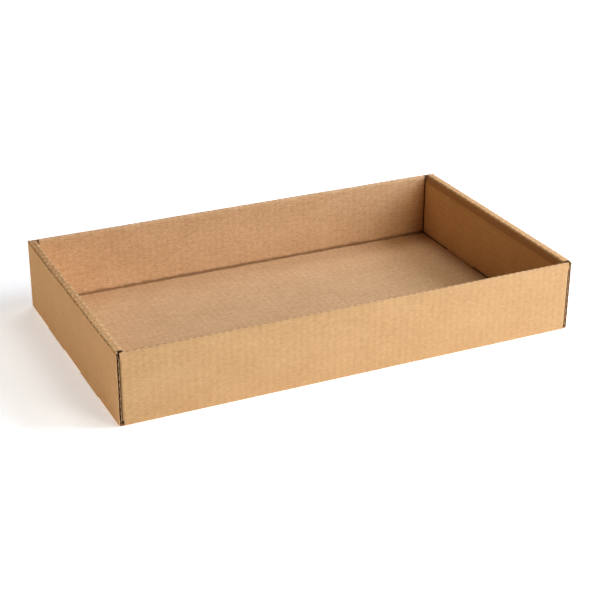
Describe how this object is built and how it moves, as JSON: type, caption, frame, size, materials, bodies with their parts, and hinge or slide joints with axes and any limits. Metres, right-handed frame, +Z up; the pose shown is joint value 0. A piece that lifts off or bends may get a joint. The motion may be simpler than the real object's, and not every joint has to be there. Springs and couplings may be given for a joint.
{
  "type": "corrugated cardboard tray box",
  "caption": "Open roll-end tray folded from one sheet of brown corrugated board: flat base, low walls, and double ends locked by tabs in slots.",
  "frame": {"origin": "on the underside of the base, below the middle of the tray", "axes": "+X along the length, +Y across the width towards the back wall, +Z up"},
  "size_m": [0.5332, 0.3128, 0.083],
  "materials": {
    "kraft_board": "matt brown kraft liner with cut edges that show the flutes"
  },
  "bodies": {
    "root": {"tray": "kraft_board"}
  },
  "joints": []
}
